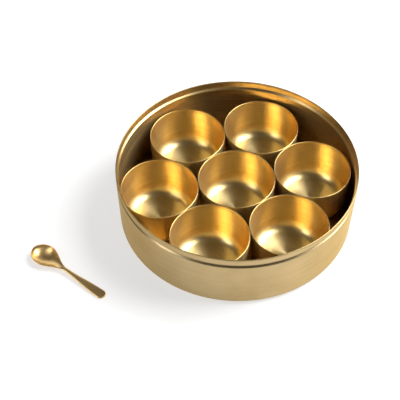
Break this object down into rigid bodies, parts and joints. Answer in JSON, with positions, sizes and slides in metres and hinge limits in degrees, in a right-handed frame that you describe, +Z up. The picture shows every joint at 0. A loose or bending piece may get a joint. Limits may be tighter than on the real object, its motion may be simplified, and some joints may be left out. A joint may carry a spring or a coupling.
{
  "type": "spice box with loose cups",
  "caption": "Shallow round brass spice box, open at the top, with loose straight-sided cups standing in a ring round a centre cup, and a small loose serving spoon beside it.",
  "frame": {"origin": "centre of the box's underside, in the plane of the ring it stands on", "axes": "+Z up along the box's axis, out of its open mouth; +X to the right and +Y away from a person who has the spoon at the left in front of the box"},
  "size_m": [0.3432, 0.254, 0.0745],
  "materials": {
    "box_brass": "satin, brushed in circles round the box by spinning",
    "cup_brass": "satin inside and out, with fine spinning marks",
    "spoon_brass": "satin, brushed along the handle, with a brighter bowl"
  },
  "bodies": {
    "box": {"box_body": "box_brass"},
    "center_cup": {"center_cup": "cup_brass"},
    "ring_cup_1": {"ring_cup_1": "cup_brass"},
    "ring_cup_2": {"ring_cup_2": "cup_brass"},
    "ring_cup_3": {"ring_cup_3": "cup_brass"},
    "ring_cup_4": {"ring_cup_4": "cup_brass"},
    "ring_cup_5": {"ring_cup_5": "cup_brass"},
    "ring_cup_6": {"ring_cup_6": "cup_brass"},
    "spoon": {"spoon": "spoon_brass"}
  },
  "joints": [
    {"name": "center_cup_lift", "type": "slide", "parent": "box", "child": "center_cup", "axis": [0, 0, 1], "range_m": [0, 0.09]},
    {"name": "ring_cup_1_lift", "type": "slide", "parent": "box", "child": "ring_cup_1", "axis": [0, 0, 1], "range_m": [0, 0.09]},
    {"name": "ring_cup_2_lift", "type": "slide", "parent": "box", "child": "ring_cup_2", "axis": [0, 0, 1], "range_m": [0, 0.09]},
    {"name": "ring_cup_3_lift", "type": "slide", "parent": "box", "child": "ring_cup_3", "axis": [0, 0, 1], "range_m": [0, 0.09]},
    {"name": "ring_cup_4_lift", "type": "slide", "parent": "box", "child": "ring_cup_4", "axis": [0, 0, 1], "range_m": [0, 0.09]},
    {"name": "ring_cup_5_lift", "type": "slide", "parent": "box", "child": "ring_cup_5", "axis": [0, 0, 1], "range_m": [0, 0.09]},
    {"name": "ring_cup_6_lift", "type": "slide", "parent": "box", "child": "ring_cup_6", "axis": [0, 0, 1], "range_m": [0, 0.09]},
    {"name": "spoon_lift", "type": "slide", "parent": "box", "child": "spoon", "axis": [0, 0, 1], "range_m": [0, 0.1]}
  ]
}
